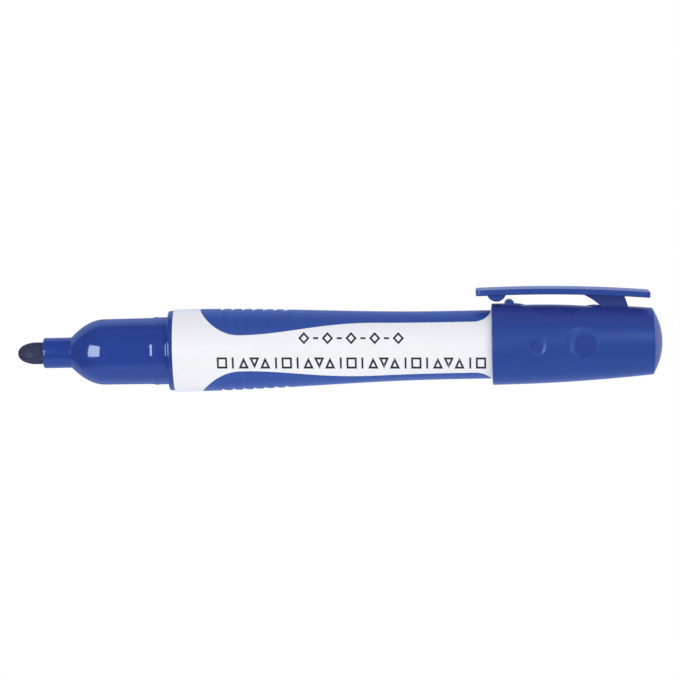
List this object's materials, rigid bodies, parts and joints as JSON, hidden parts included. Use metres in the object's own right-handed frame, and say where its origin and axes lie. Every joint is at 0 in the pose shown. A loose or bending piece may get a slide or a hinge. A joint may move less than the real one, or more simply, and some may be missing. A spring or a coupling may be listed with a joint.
{
  "type": "whiteboard marker",
  "caption": "Bullet-nib whiteboard marker with a posted slide-off cap, flexing pocket clip and ribbed grip inlays.",
  "frame": {"origin": "centre of the barrel's flat rear end, on the pen's axis, covered by the posted cap", "axes": "+X along the pen's axis from the nib to the cap's end, +Z towards the clip, +Y away from the side that carries the print"},
  "size_m": [0.1386, 0.0178, 0.021],
  "materials": {
    "nib_fibre": "inked fibre, dull and slightly fuzzy",
    "blue_gloss": "polished moulded plastic",
    "white_body": "satin white moulded plastic",
    "blue_grip": "satin two-shot inlay",
    "ink_fibre": "inked fibre bundle",
    "film": "thin wrapping film",
    "seal_plastic": "soft natural plastic",
    "blue_satin": "satin moulded plastic"
  },
  "bodies": {
    "barrel": {"bullet_nib": "nib_fibre", "nose_housing": "blue_gloss", "barrel_tube": "white_body", "grip_panel_top": "blue_grip", "grip_panel_bottom": "blue_grip", "ink_reservoir": "ink_fibre", "reservoir_sleeve": "film", "tail_plug": "blue_gloss"},
    "inner_seal": {"cap_inner_seal": "seal_plastic"},
    "cap": {"cap_shell": "blue_satin"},
    "clip": {"pocket_clip": "blue_satin"}
  },
  "joints": [
    {"name": "cap_slide", "type": "slide", "parent": "barrel", "child": "inner_seal", "axis": [1, 0, 0], "range_m": [0, 0.03]},
    {"name": "cap_turn", "type": "hinge", "parent": "inner_seal", "child": "cap", "pos_m": [-0.0182, 0, 0], "axis": [1, 0, 0], "continuous": true},
    {"name": "clip_flex", "type": "hinge", "parent": "cap", "child": "clip", "pos_m": [0.0093, 0, 0.0082], "axis": [0, 1, 0], "range_deg": [0, 5], "stiffness_Nm_per_rad": 0.02}
  ]
}
